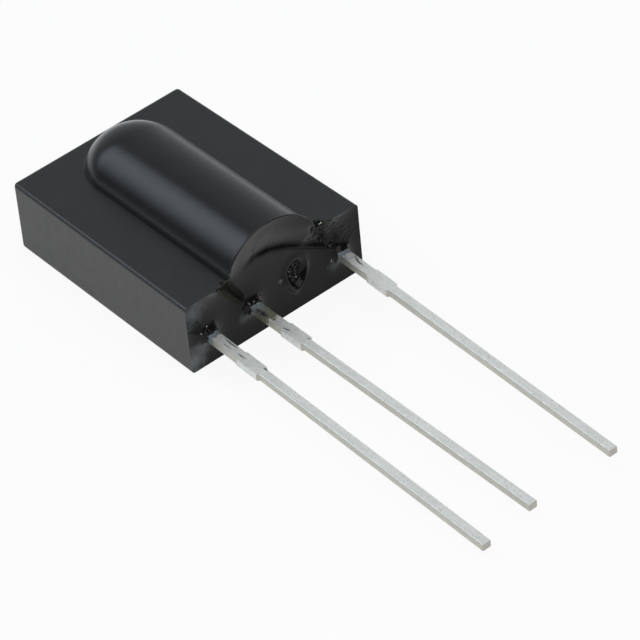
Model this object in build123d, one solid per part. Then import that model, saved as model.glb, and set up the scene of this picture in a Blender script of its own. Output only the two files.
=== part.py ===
"""Infrared remote control receiver in a cast-epoxy side-view package.

Millimetres. The receiver lies on its back: +Z is up through the lens, X runs
across the leads and the leads leave towards -Y. The origin is the centre of
the flat back face.
"""
from build123d import *
from math import exp, sqrt
import os

# ---- Epoxy casting -------------------------------------------------------
body_width = 10.0            # across the leads, at the open end of the mould
body_length = 12.35          # from the open end to the closed end
body_depth = 3.75            # from the back face to the shoulders
side_draft = 0.16            # each side closes in by this at the closed end
edge_radius = 0.2            # long edges and closed-end edges

lens_radius = 2.63           # at the open end
lens_draft = 0.04            # the lens radius loses this towards the dome
lens_axis_height = 2.93      # above the back face
dome_gap = 0.44              # from the dome's pole to the closed end
lip_flare = 0.1              # the lens widens by this at the mould's mouth
lip_length = 0.2

# ---- Cast end face: the free surface of the epoxy ------------------------
rim_land = 0.05              # flat left along the rim
meniscus_depth = 0.42        # how far the surface drops below the rim
meniscus_length = 0.7        # its slope dies away over this length
meniscus_reach = 1.3         # how far in from the rim it levels off
meniscus_steps = 5
dish_corner_radius = 0.16    # at the rim
dish_corner_growth = 0.12    # and this much more for each millimetre inwards
lens_corner_radius = 0.12    # where the lens meets the shoulders
lens_corner_growth = 0.25
corner_dip_radius = 0.24     # the rim dips where the lens meets a shoulder
corner_dip_standoff = 0.06

collar_height = 0.3          # epoxy drawn up each lead
collar_land = 0.05           # left beside the lead at the collar's crest
collar_reach = 0.55          # how far the collar spreads beyond its crest

crater_width = 1.0           # crest to crest round the trimmed lead
crater_height = 1.26
crater_rise = 0.24           # crest above the end face
crater_depth = 0.12          # bottom below the end face
crater_spread = 0.45         # outer slope
bowl_fullness = 0.78         # the hollow's width at the end face, of its mouth's
flank_bend = 0.32            # how hollow the flanks of collars and crater are
crater_offset = 0.12         # its centre sits above the lead plane
crater_shift = 0.08          # and towards the supply lead
trimmed_stub = 0.08          # what stands out of the crater's bottom

# ---- Lead frame ----------------------------------------------------------
lead_pitch = 2.54
lead_width = 0.46
lead_thickness = 0.38
lead_edge_radius = 0.05      # softened by the tin plating
lead_length = 18.0           # beyond the casting
root_width = 0.52            # between the casting and the dam-bar shoulder
dam_width = 0.64             # shoulder left where the dam bar was sheared
dam_start = 2.18             # from the casting's open end
dam_length = 1.45
dam_taper = 0.1              # the shoulder runs out over this length
lead_plane_height = 1.62     # middle of the frame above the back face
output_lead_droop = 2.0      # degrees, towards the back face
ground_lead_droop = 0.45
supply_lead_droop = 0.4
output_lead_splay = -0.3     # degrees, across the pitch
ground_lead_splay = 0.0
supply_lead_splay = -1.4
bend_overlap = 0.2           # the bend sits this far inside the end face

paddle_width = 4.6
paddle_margin = 0.45         # beyond the chips, along the frame
flag_width = 1.4             # bond pads of the two outer leads
flag_length = 1.3
flag_gap = 0.45              # between a flag and the paddle

# ---- Chips and bonds -----------------------------------------------------
diode_size = 2.2
diode_thickness = 0.3
amplifier_width = 1.5
amplifier_length = 1.2
amplifier_thickness = 0.28
chip_gap = 0.5               # between the two chips
adhesive_thickness = 0.03
adhesive_margin = 0.06       # squeezed out round each chip
wire_diameter = 0.04
wire_sides = 8               # the wire's section is drawn as an octagon
wire_rise = 0.24             # top of each loop above its higher pad
ball_radius = 0.055
ball_height = 0.03
stitch_radius = 0.06
stitch_height = 0.02
pad_inset = 0.16             # bond pads from a chip's edges

# ---- Derived places ------------------------------------------------------
open_end = -body_length / 2
closed_end = body_length / 2
lens_dome_radius = lens_radius - lens_draft
dome_centre = closed_end - dome_gap - lens_dome_radius
end_face = open_end + meniscus_depth

frame_bottom = lead_plane_height - lead_thickness / 2
frame_top = lead_plane_height + lead_thickness / 2
output_x = -1.5 * lead_pitch
ground_x = -0.5 * lead_pitch
trimmed_x = 0.5 * lead_pitch
supply_x = 1.5 * lead_pitch
crater_x = trimmed_x + crater_shift
crater_z = lead_plane_height + crater_offset

diode_y = dome_centre
amplifier_y = diode_y - diode_size / 2 - chip_gap - amplifier_length / 2
paddle_top = diode_y + diode_size / 2 + paddle_margin
paddle_bottom = amplifier_y - amplifier_length / 2 - paddle_margin
chip_seat = frame_top + adhesive_thickness
diode_top = chip_seat + diode_thickness
amplifier_top = chip_seat + amplifier_thickness


# ---- Epoxy casting -------------------------------------------------------
def end_section(inset, y):
    """The casting's cross-section at the open end, drawn in by inset."""
    plane = Plane(origin=(0, y, 0), x_dir=(1, 0, 0), z_dir=(0, -1, 0))
    block = Pos(0, body_depth / 2) * Rectangle(body_width - 2 * inset, body_depth - 2 * inset)
    dome = Pos(0, lens_axis_height) * Rot(0, 0, -90) * Circle(lens_radius + lip_flare - inset)
    outline = block + dome
    creases = outline.vertices().group_by(Axis.Y)[-1].sort_by(Axis.X)[1:-1]
    outline = fillet(creases, lens_corner_radius + lens_corner_growth * inset)
    sides = outline.vertices().group_by(Axis.X)
    return plane * fillet(sides[0] + sides[-1], dish_corner_radius + dish_corner_growth * inset)


def block():
    """The drafted block, rounded along its sides and round its closed end."""
    mouth_half = body_width / 2
    base_half = mouth_half - side_draft
    plan = Polygon(
        (-mouth_half, open_end), (mouth_half, open_end),
        (base_half, closed_end), (-base_half, closed_end), align=None)
    solid = extrude(plan, body_depth)
    mouth_edges = solid.edges().filter_by_position(Axis.Y, open_end, open_end)
    return fillet(solid.edges() - mouth_edges, edge_radius)


def lens():
    """Half-cylinder lens with a domed end, flared where the mould opens."""
    lip_end = open_end + lip_length
    pole = dome_centre + lens_dome_radius
    knee = lens_dome_radius / sqrt(2)
    with BuildSketch() as profile:
        with BuildLine():
            Line((0, pole), (0, open_end))
            Line((0, open_end), (lens_radius + lip_flare, open_end))
            Line((lens_radius + lip_flare, open_end), (lens_radius, lip_end))
            Line((lens_radius, lip_end), (lens_dome_radius, dome_centre))
            ThreePointArc((lens_dome_radius, dome_centre), (knee, dome_centre + knee), (0, pole))
        make_face()
    return Pos(0, 0, lens_axis_height) * revolve(profile.sketch, Axis.Y)


def dish():
    """The hollow left by the meniscus: outlines that sink ever less inwards."""
    width = meniscus_reach - rim_land
    whole_drop = 1 - exp(-width / meniscus_length)
    sections = []
    for step in range(meniscus_steps + 1):
        inward = width * step / meniscus_steps
        drop = meniscus_depth * (1 - exp(-inward / meniscus_length)) / whole_drop
        sections.append(end_section(rim_land + inward, open_end + drop))
    return loft(sections)


def oval(profile, height_share, x, z):
    """Turn a profile about Y, flatten or stretch it along Z, and place it."""
    return Pos(x, 0, z) * scale(revolve(profile, Axis.Y), (1, 1, height_share))


def collar(x):
    """Epoxy drawn up a lead, flaring out into the end face."""
    crest = end_face - collar_height
    crest_radius = root_width / 2 + collar_land
    foot_radius = crest_radius + collar_reach
    with BuildSketch() as profile:
        with BuildLine():
            Line((0, end_face + collar_height), (0, crest))
            Line((0, crest), (crest_radius, crest))
            ThreePointArc(
                (crest_radius, crest),
                (crest_radius + flank_bend * collar_reach, end_face - flank_bend * collar_height),
                (foot_radius, end_face))
            Line((foot_radius, end_face), (0, end_face + collar_height))
        make_face()
    return oval(profile.sketch, lead_thickness / root_width, x, lead_plane_height)


def crater_ring():
    """Raised ring round the trimmed lead, longer than it is wide."""
    crest_radius = crater_width / 2
    foot_radius = crest_radius + crater_spread
    crest = end_face - crater_rise
    with BuildSketch() as profile:
        with BuildLine():
            Line((0, end_face + crater_depth), (0, crest))
            Line((0, crest), (crest_radius, crest))
            ThreePointArc(
                (crest_radius, crest),
                (crest_radius + flank_bend * crater_spread, end_face - flank_bend * crater_rise),
                (foot_radius, end_face))
            Line((foot_radius, end_face), (0, end_face + crater_depth))
        make_face()
    return oval(profile.sketch, crater_height / crater_width, crater_x, crater_z)


def crater_bowl():
    """The hollow inside the ring, down to the trimmed lead."""
    mouth_radius = crater_width / 2 - rim_land
    crest = end_face - crater_rise
    bottom = end_face + crater_depth
    with BuildSketch() as profile:
        with BuildLine():
            Line((0, bottom), (0, crest - rim_land))
            Line((0, crest - rim_land), (mouth_radius, crest - rim_land))
            Line((mouth_radius, crest - rim_land), (mouth_radius, crest))
            ThreePointArc(
                (mouth_radius, crest), (mouth_radius * bowl_fullness, end_face), (0, bottom))
        make_face()
    return oval(profile.sketch, crater_height / crater_width, crater_x, crater_z)


def corner_dips():
    """The rim's two dips where the lens meets the shoulders."""
    rise = body_depth - lens_axis_height
    half_width = sqrt((lens_radius + lip_flare) ** 2 - rise ** 2)
    dips = []
    for side in (-1, 1):
        place = Pos(side * half_width, open_end - corner_dip_standoff, body_depth)
        dips.append(place * Sphere(corner_dip_radius))
    return dips


def casting():
    """The whole casting, before anything is embedded in it."""
    solid = block() + lens()
    solid -= dish()
    for x in (output_x, ground_x, supply_x):
        solid += collar(x)
    solid += crater_ring()
    solid -= crater_bowl()
    for dip in corner_dips():
        solid -= dip
    return solid


# ---- Lead frame ----------------------------------------------------------
def strip(width, start, end, x=0.0):
    """A straight stretch of lead frame between two places along Y."""
    return Pos(x, (start + end) / 2) * Rectangle(width, end - start)


def stamped(outline):
    """Give a flat outline the frame's thickness about the lead plane."""
    return extrude(Plane.XY.offset(frame_bottom) * outline, lead_thickness)


def lead(x, inner_end, droop, splay):
    """One lead: root, dam-bar shoulder, and the long leg to its tip."""
    bend = end_face + bend_overlap
    shoulder_start = open_end - dam_start
    shoulder_end = shoulder_start - dam_length
    tip = open_end - lead_length
    outline = strip(root_width, shoulder_start, bend, x)
    half_dam = dam_width / 2
    half_leg = lead_width / 2
    dam = Polygon(
        (x - half_dam, shoulder_start), (x - half_dam, shoulder_end + dam_taper),
        (x - half_leg, shoulder_end), (x + half_leg, shoulder_end),
        (x + half_dam, shoulder_end + dam_taper), (x + half_dam, shoulder_start), align=None)
    near_part = stamped(outline + dam)
    leg = stamped(strip(lead_width, tip, shoulder_end, x))
    leg = fillet(leg.edges().filter_by(Axis.Y), lead_edge_radius)
    outside = near_part + leg
    outside = outside.rotate(Axis((x, bend, frame_top), (1, 0, 0)), droop)
    outside = outside.rotate(Axis((x, bend, frame_top), (0, 0, 1)), splay)
    return stamped(strip(root_width, bend - bend_overlap / 2, inner_end, x)) + outside


def outer_lead(x, droop, splay):
    """An outer lead with its bond flag beside the paddle."""
    side = 1 if x > 0 else -1
    inner_edge = paddle_width / 2 + flag_gap
    flag_start = amplifier_y - flag_length / 2
    flag_end = amplifier_y + flag_length / 2
    flag = strip(flag_width, flag_start, flag_end, side * (inner_edge + flag_width / 2))
    return lead(x, flag_start + root_width, droop, splay) + stamped(flag)


def ground_frame():
    """Ground lead, the paddle it carries and the trimmed lead, one stamping."""
    trimmed_end = end_face + crater_depth - trimmed_stub
    outline = strip(paddle_width, paddle_bottom, paddle_top)
    outline += strip(root_width, trimmed_end, paddle_bottom + root_width, trimmed_x)
    inner_end = paddle_bottom + root_width
    return lead(ground_x, inner_end, ground_lead_droop, ground_lead_splay) + stamped(outline)


# ---- Chips, adhesive and bond wires --------------------------------------
def chip(width, length, thickness, y):
    """A chip on its adhesive, centred across the paddle."""
    return Pos(0, y, chip_seat + thickness / 2) * Box(width, length, thickness)


def adhesive(width, length, y):
    """The thin bond line under a chip, squeezed out a little all round."""
    size_x = width + 2 * adhesive_margin
    size_y = length + 2 * adhesive_margin
    return Pos(0, y, frame_top + adhesive_thickness / 2) * Box(size_x, size_y, adhesive_thickness)


def bond_wire(first, second):
    """A gold wire from a ball bond on the first pad to a stitch on the second."""
    ball_top = first[2] + ball_height
    stitch_top = second[2] + stitch_height
    crown = max(first[2], second[2]) + wire_rise
    path = FilletPolyline(
        (first[0], first[1], ball_top), (first[0], first[1], crown),
        (second[0], second[1], crown), (second[0], second[1], stitch_top),
        radius=wire_rise / 2)
    start = Plane(origin=path @ 0, z_dir=path % 0)
    wire = sweep(start * RegularPolygon(wire_diameter / 2, wire_sides), path=path)
    ball = extrude(Pos(*first) * RegularPolygon(ball_radius, wire_sides), ball_height)
    stitch = extrude(Pos(*second) * RegularPolygon(stitch_radius, wire_sides), stitch_height)
    return wire + ball + stitch


def bond_wires():
    """The five bonds, each with a node name of its own."""
    amplifier_half_x = amplifier_width / 2 - pad_inset
    amplifier_half_y = amplifier_length / 2 - pad_inset
    diode_pad_x = diode_size / 4
    diode_pad_y = diode_y - diode_size / 2 + pad_inset
    flag_x = paddle_width / 2 + flag_gap + flag_width / 3
    amplifier_front = amplifier_y + amplifier_half_y
    return {
        "bond_wire_output": bond_wire(
            (-amplifier_half_x, amplifier_y, amplifier_top), (-flag_x, amplifier_y, frame_top)),
        "bond_wire_supply": bond_wire(
            (amplifier_half_x, amplifier_y, amplifier_top), (flag_x, amplifier_y, frame_top)),
        "bond_wire_ground": bond_wire(
            (-amplifier_half_x, amplifier_y - amplifier_half_y, amplifier_top),
            (-paddle_width / 2 + 2 * pad_inset, amplifier_y - amplifier_length / 2, frame_top)),
        "bond_wire_diode_anode": bond_wire(
            (-diode_pad_x, diode_pad_y, diode_top), (-amplifier_half_x / 2, amplifier_front, amplifier_top)),
        "bond_wire_diode_cathode": bond_wire(
            (diode_pad_x, diode_pad_y, diode_top), (amplifier_half_x / 2, amplifier_front, amplifier_top)),
    }


# ---- Assembly ------------------------------------------------------------
def build():
    """Every node by name; the casting is poured round all the others."""
    nodes = {
        "output_lead": outer_lead(output_x, output_lead_droop, output_lead_splay),
        "ground_lead_frame": ground_frame(),
        "supply_lead": outer_lead(supply_x, supply_lead_droop, supply_lead_splay),
        "photodiode_adhesive": adhesive(diode_size, diode_size, diode_y),
        "photodiode_chip": chip(diode_size, diode_size, diode_thickness, diode_y),
        "amplifier_adhesive": adhesive(amplifier_width, amplifier_length, amplifier_y),
        "amplifier_chip": chip(amplifier_width, amplifier_length, amplifier_thickness, amplifier_y),
    }
    nodes.update(bond_wires())
    body = casting()
    for embedded in nodes.values():
        body -= embedded
    nodes["epoxy_body"] = body
    return nodes


os.makedirs("parts", exist_ok=True)
for name, solid in build().items():
    export_step(solid, f"parts/{name}.step")
    print(f"{name:26s} {solid.volume:10.4f} mm3  solids {len(solid.solids())}")
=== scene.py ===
"""Finishes, cast end face, flecks, studio and camera for the remote control receiver.

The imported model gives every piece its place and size. This script pours a finely
meshed casting around the leads, whose end face is the free surface that the epoxy
took while it was liquid, and dresses the leads, chips and bonds.
"""

import logging
import math
from dataclasses import dataclass
from enum import Enum

import bmesh
import bpy
import numpy as np
from mathutils import Matrix, Vector


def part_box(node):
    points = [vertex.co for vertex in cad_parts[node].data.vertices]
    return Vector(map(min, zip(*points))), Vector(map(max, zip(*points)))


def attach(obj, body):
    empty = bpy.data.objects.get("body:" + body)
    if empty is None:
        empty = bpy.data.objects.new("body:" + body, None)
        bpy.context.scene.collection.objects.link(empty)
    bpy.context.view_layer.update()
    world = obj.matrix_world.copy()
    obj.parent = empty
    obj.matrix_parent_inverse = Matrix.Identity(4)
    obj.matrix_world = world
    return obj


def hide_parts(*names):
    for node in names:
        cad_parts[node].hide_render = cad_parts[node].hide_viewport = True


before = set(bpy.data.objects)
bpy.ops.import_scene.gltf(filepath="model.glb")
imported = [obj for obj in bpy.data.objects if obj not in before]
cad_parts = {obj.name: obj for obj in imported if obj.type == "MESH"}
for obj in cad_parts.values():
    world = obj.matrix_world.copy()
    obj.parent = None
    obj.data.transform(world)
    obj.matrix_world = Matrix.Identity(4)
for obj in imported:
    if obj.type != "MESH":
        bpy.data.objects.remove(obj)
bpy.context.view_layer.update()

MM = 0.001
QUARTER_TURN = math.pi / 2
EVEN = (1.0, 1.0, 1.0)
LOG = logging.getLogger("receiver")

Socket = bpy.types.NodeSocket
Sockets = bpy.types.NodeOutputs
Pair = tuple[float, float]
Colour = tuple[float, float, float]


# ---- Node trees ----------------------------------------------------------
class Tree:
    """A node tree with short calls for adding and joining nodes."""

    def __init__(self, tree: bpy.types.NodeTree) -> None:
        """Wrap a node tree."""
        self.tree = tree

    def feed(self, node: bpy.types.Node, inputs: dict[object, object]) -> None:
        """Feed a node's inputs.

        Args:
            node: the node.
            inputs: a socket to link or a value to set, by each input's name or number.
        """
        for key, value in inputs.items():
            socket = node.inputs[key]
            if isinstance(value, Socket):
                self.tree.links.new(value, socket)
            else:
                socket.default_value = (*value, 1.0) if socket.type == "RGBA" else value

    def add(self, kind: str, inputs: dict[object, object] | None = None, **settings: object) -> bpy.types.Node:
        """Add a node.

        Args:
            kind: the node's type name; a shader node's goes without its prefix.
            inputs: what feeds the node, by each input's name or number.
            settings: attributes to set on the node first.

        Returns:
            The new node.
        """
        node = self.tree.nodes.new(kind if "Node" in kind else "ShaderNode" + kind)
        for key, value in settings.items():
            setattr(node, key, value)
        self.feed(node, inputs or {})
        return node

    def group(self, effect: bpy.types.NodeTree, **values: float) -> Socket:
        """Place a shared effect.

        Args:
            effect: the effect's node group.
            values: its inputs' values; an underscore stands for a space.

        Returns:
            The effect's socket.
        """
        node = self.add("Group", node_tree=effect)
        self.feed(node, {key.replace("_", " "): value for key, value in values.items()})
        return node.outputs[0]

    def math(self, operation: str, first: object, second: object = 0.0) -> Socket:
        """One operation on two sockets or numbers."""
        return self.add("Math", {0: first, 1: second}, operation=operation).outputs[0]

    def span(self, source: Socket, low: float, high: float,
             to_low: float = 0.0, to_high: float = 1.0) -> Socket:
        """Map a value from one span to another, clamped."""
        limits = {"Value": source, "From Min": low, "From Max": high, "To Min": to_low, "To Max": to_high}
        return self.add("MapRange", limits).outputs["Result"]

    def on_object(self) -> Socket:
        """The place on the object, in metres."""
        return self.add("TexCoord").outputs["Object"]

    def split(self, vector: Socket) -> Sockets:
        """The sockets X, Y and Z of a vector."""
        return self.add("SeparateXYZ", {0: vector}).outputs

    def noise(self, cells: Socket, stretch: Colour, detail: float) -> Socket:
        """Noise on object coordinates, stretched along chosen axes.

        Args:
            cells: socket with the number of cells a metre.
            stretch: how much each axis counts.
            detail: noise detail.

        Returns:
            The noise factor's socket, about 0.5 on average.
        """
        mapping = self.add("Mapping", {"Vector": self.on_object(), "Scale": stretch})
        noise = self.add("TexNoise", {"Vector": mapping.outputs["Vector"], "Scale": cells, "Detail": detail})
        return noise.outputs["Fac"]

    def blend(self, under: object, over: Colour, factor: Socket) -> Socket:
        """Lay a plain colour over another, plain or from a socket, by a varying factor."""
        return self.add("Mix", {"A": under, "B": over, "Factor": factor}, data_type="RGBA").outputs["Result"]


def new_group(name: str, inputs: dict[str, float], output: str) -> tuple[Tree, Sockets, bpy.types.Node]:
    """Start a shader group with named value sockets.

    Args:
        name: the group's name.
        inputs: each input's name and default value.
        output: the output's name.

    Returns:
        The group's tree, the sockets that its inputs come from, and its output node.
    """
    tree = bpy.data.node_groups.new(name, "ShaderNodeTree")
    for socket, value in inputs.items():
        item = tree.interface.new_socket(name=socket, in_out="INPUT", socket_type="NodeSocketFloat")
        item.default_value = value
    tree.interface.new_socket(name=output, in_out="OUTPUT", socket_type="NodeSocketFloat")
    wrapped = Tree(tree)
    return wrapped, wrapped.add("NodeGroupInput").outputs, wrapped.add("NodeGroupOutput")


class Effects:
    """The surface effects that several finishes share, each one node group."""

    ALONG_LEAD = (1.0, 0.06, 1.0)
    PATCH_RAGGED = 1.2
    PATCH_CORE = 0.1
    MARK_GRAIN = (1.0, 0.4, 1.0)
    MARK_RAGGED = 2.4
    MARK_CORE = 0.35
    MARK_WORN = (0.32, 0.5)
    MARK_FAINTEST = 0.35

    def __init__(self) -> None:
        """Build every group once: grain, slow drift, streaks along the leads, patches for stain specks and
        painted reflected brightness, and marks.
        """
        self.grain = self._grain()
        self.drift = self._variation("slow_drift", 600.0, EVEN, 3.0, (0.3, 0.7))
        self.streaks = self._variation("lead_streaks", 9000.0, self.ALONG_LEAD, 2.0, (0.38, 0.66))
        self.rubbed = self._rubbed()
        self.speck_and_painted_light = self._speck_and_painted_light()

    @staticmethod
    def _grain() -> bpy.types.NodeTree:
        """Fine even grain, as a moulded or plated surface has.

        Returns:
            The node group.
        """
        tree, given, result = new_group("surface_grain", {"Cells": 20000.0}, "Height")
        tree.feed(result, {"Height": tree.noise(given["Cells"], EVEN, 2.0)})
        return tree.tree

    @staticmethod
    def _variation(name: str, cells: float, stretch: Colour, detail: float, spread: Pair) -> bpy.types.NodeTree:
        """Variation over a surface, between two values.

        Args:
            name: the group's name.
            cells: cells a metre, unless a finish sets them.
            stretch: how much each axis counts.
            detail: noise detail.
            spread: the part of the noise that is spread between the two values.

        Returns:
            The node group.
        """
        tree, given, result = new_group(name, {"Cells": cells, "Low": 0.0, "High": 1.0}, "Value")
        share = tree.span(tree.noise(given["Cells"], stretch, detail), *spread)
        scaled = tree.math("MULTIPLY", share, tree.math("SUBTRACT", given["High"], given["Low"]))
        tree.feed(result, {"Value": tree.math("ADD", scaled, given["Low"])})
        return tree.tree

    @classmethod
    def _speck_and_painted_light(cls) -> bpy.types.NodeTree:
        """One ragged round patch on the end face, placed and sized in metres; it masks both the stain specks
        and the lighter patches of painted reflected brightness.

        Returns:
            The node group.
        """
        sizes = {"Centre X": 0.0, "Centre Z": 0.0, "Reach": 5e-4, "Cells": 2500.0}
        tree, given, result = new_group("painted_light_and_speck_patch", sizes, "Mask")
        place = tree.split(tree.on_object())
        across = tree.math("SUBTRACT", place["X"], given["Centre X"])
        upward = tree.math("SUBTRACT", place["Z"], given["Centre Z"])
        squares = tree.math("ADD", tree.math("MULTIPLY", across, across), tree.math("MULTIPLY", upward, upward))
        share = tree.math("DIVIDE", tree.math("SQRT", squares), given["Reach"])
        cloud = tree.math("SUBTRACT", tree.noise(given["Cells"], EVEN, 3.0), 0.5)
        ragged = tree.math("ADD", share, tree.math("MULTIPLY", cloud, cls.PATCH_RAGGED))
        tree.feed(result, {"Mask": tree.span(ragged, 1.0, cls.PATCH_CORE)})
        return tree.tree

    @classmethod
    def _rubbed(cls) -> bpy.types.NodeTree:
        """One ragged lengthwise mark on a lead's top, placed and sized in metres.

        Returns:
            The node group.
        """
        sizes = {"Centre X": 0.0, "Centre Y": 0.0, "Half Width": 1e-4, "Half Length": 4e-4, "Lean": 0.0,
                 "Cells": 9000.0}
        tree, given, result = new_group("rubbed_mark", sizes, "Mask")
        place = tree.split(tree.on_object())
        noise = tree.noise(given["Cells"], cls.MARK_GRAIN, 2.0)
        along = tree.math("SUBTRACT", place["Y"], given["Centre Y"])
        across = tree.math("SUBTRACT", place["X"], given["Centre X"])
        across = tree.math("SUBTRACT", across, tree.math("MULTIPLY", along, given["Lean"]))
        across = tree.math("DIVIDE", across, given["Half Width"])
        ragged = tree.math("MULTIPLY", tree.math("SUBTRACT", noise, 0.5), cls.MARK_RAGGED)
        across = tree.math("ADD", across, ragged)
        along = tree.math("DIVIDE", along, given["Half Length"])
        reach = tree.math("ADD", tree.math("MULTIPLY", across, across), tree.math("MULTIPLY", along, along))
        worn = tree.span(noise, *cls.MARK_WORN, to_low=cls.MARK_FAINTEST)
        tree.feed(result, {"Mask": tree.math("MULTIPLY", tree.span(reach, 1.0, cls.MARK_CORE), worn)})
        return tree.tree


# ---- Finishes ------------------------------------------------------------
class FinishTree(Tree):
    """A finish's shader tree, with the shared effects at hand."""

    def __init__(self, tree: bpy.types.NodeTree, effects: Effects) -> None:
        """Wrap a material's node tree."""
        super().__init__(tree)
        self.effects = effects

    def drift(self, cells: float, low: float = 0.0, high: float = 1.0) -> Socket:
        """Slow variation over the surface, between two values."""
        return self.group(self.effects.drift, Cells=cells, Low=low, High=high)

    def grained(self, cells: float, height: float, strength: float = 1.0) -> Socket:
        """The normal of a surface with fine grain.

        Args:
            cells: cells a metre.
            height: the grain's height, in millimetres.
            strength: how much of it shows.

        Returns:
            The normal's socket.
        """
        grain = self.group(self.effects.grain, Cells=cells)
        bump = self.add("Bump", {"Height": grain, "Distance": height * MM, "Strength": strength})
        return bump.outputs["Normal"]


def start_material(name: str, effects: Effects) -> tuple[bpy.types.Material, FinishTree, bpy.types.Node]:
    """A new material with a Principled shader.

    Args:
        name: the material's name.
        effects: the shared effect groups.

    Returns:
        The material, its tree and its Principled node.
    """
    material = bpy.data.materials.new(name)
    material.use_nodes = True
    tree = material.node_tree
    return material, FinishTree(tree, effects), tree.nodes["Principled BSDF"]


@dataclass(frozen=True)
class SpeckAndPaintedLightPatch:
    """A ragged patch on the end face, in millimetres; it serves both a stain speck and the lighter patches of
    painted reflected brightness.
    """

    x: float
    z: float
    reach: float
    strength: float

    def mask(self, tree: FinishTree) -> Socket:
        """Where the patch is, from 0 to 1."""
        patch = tree.group(tree.effects.speck_and_painted_light, Centre_X=self.x * MM, Centre_Z=self.z * MM, Reach=self.reach * MM)
        return tree.math("MULTIPLY", patch, self.strength)


@dataclass(frozen=True)
class EpoxyFinish:
    """Black infrared-passing epoxy as one kind of mould wall leaves it."""

    name: str
    dark: Colour
    light: Colour
    roughness: Pair
    gloss: float
    grain_cells: float
    grain_height: float
    dust: float = 0.0
    dust_roughness: float = 0.3
    index: float = 1.5
    cloud_cells: float = 900.0
    polish_cells: float = 2600.0
    # Painted reflected brightness: lighter cloudy patches on the end face, and their colour.
    painted_reflection_patches: tuple[SpeckAndPaintedLightPatch, ...] = ()
    painted_reflection_colour: Colour = (0.118, 0.130, 0.136)
    # Real reddish-brown stain specks, and their colour.
    specks: tuple[SpeckAndPaintedLightPatch, ...] = ()
    speck_colour: Colour = (0.12, 0.095, 0.08)

    def build(self, effects: Effects) -> bpy.types.Material:
        """Make the material.

        Args:
            effects: the shared effect groups.

        Returns:
            The finished material.
        """
        material, tree, shader = start_material(self.name, effects)
        colour = tree.blend(self.dark, self.light, tree.drift(self.cloud_cells))
        # The lighter patches of painted reflected brightness go over the base colour first, then the stain
        # specks.
        for patches, patch_colour in ((self.painted_reflection_patches, self.painted_reflection_colour), (self.specks, self.speck_colour)):
            for patch in patches:
                colour = tree.blend(colour, patch_colour, patch.mask(tree))
        tree.feed(shader, {
            "Base Color": colour,
            "Roughness": tree.drift(self.polish_cells, *self.roughness),
            "Normal": tree.grained(self.grain_cells, self.grain_height),
            "IOR": self.index,
            "Specular IOR Level": self.gloss,
            "Sheen Weight": self.dust,
            "Sheen Roughness": self.dust_roughness,
        })
        return material


@dataclass(frozen=True)
class Smear:
    """A dark mark rubbed into the top of a lead, in millimetres."""

    x: float
    y: float
    half_width: float
    half_length: float
    lean: float = 0.0

    def mask(self, tree: FinishTree) -> Socket:
        """Where the mark is, from 0 to 1."""
        return tree.group(tree.effects.rubbed, Centre_X=self.x * MM, Centre_Y=self.y * MM, Lean=self.lean,
                          Half_Width=self.half_width * MM, Half_Length=self.half_length * MM)


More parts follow.
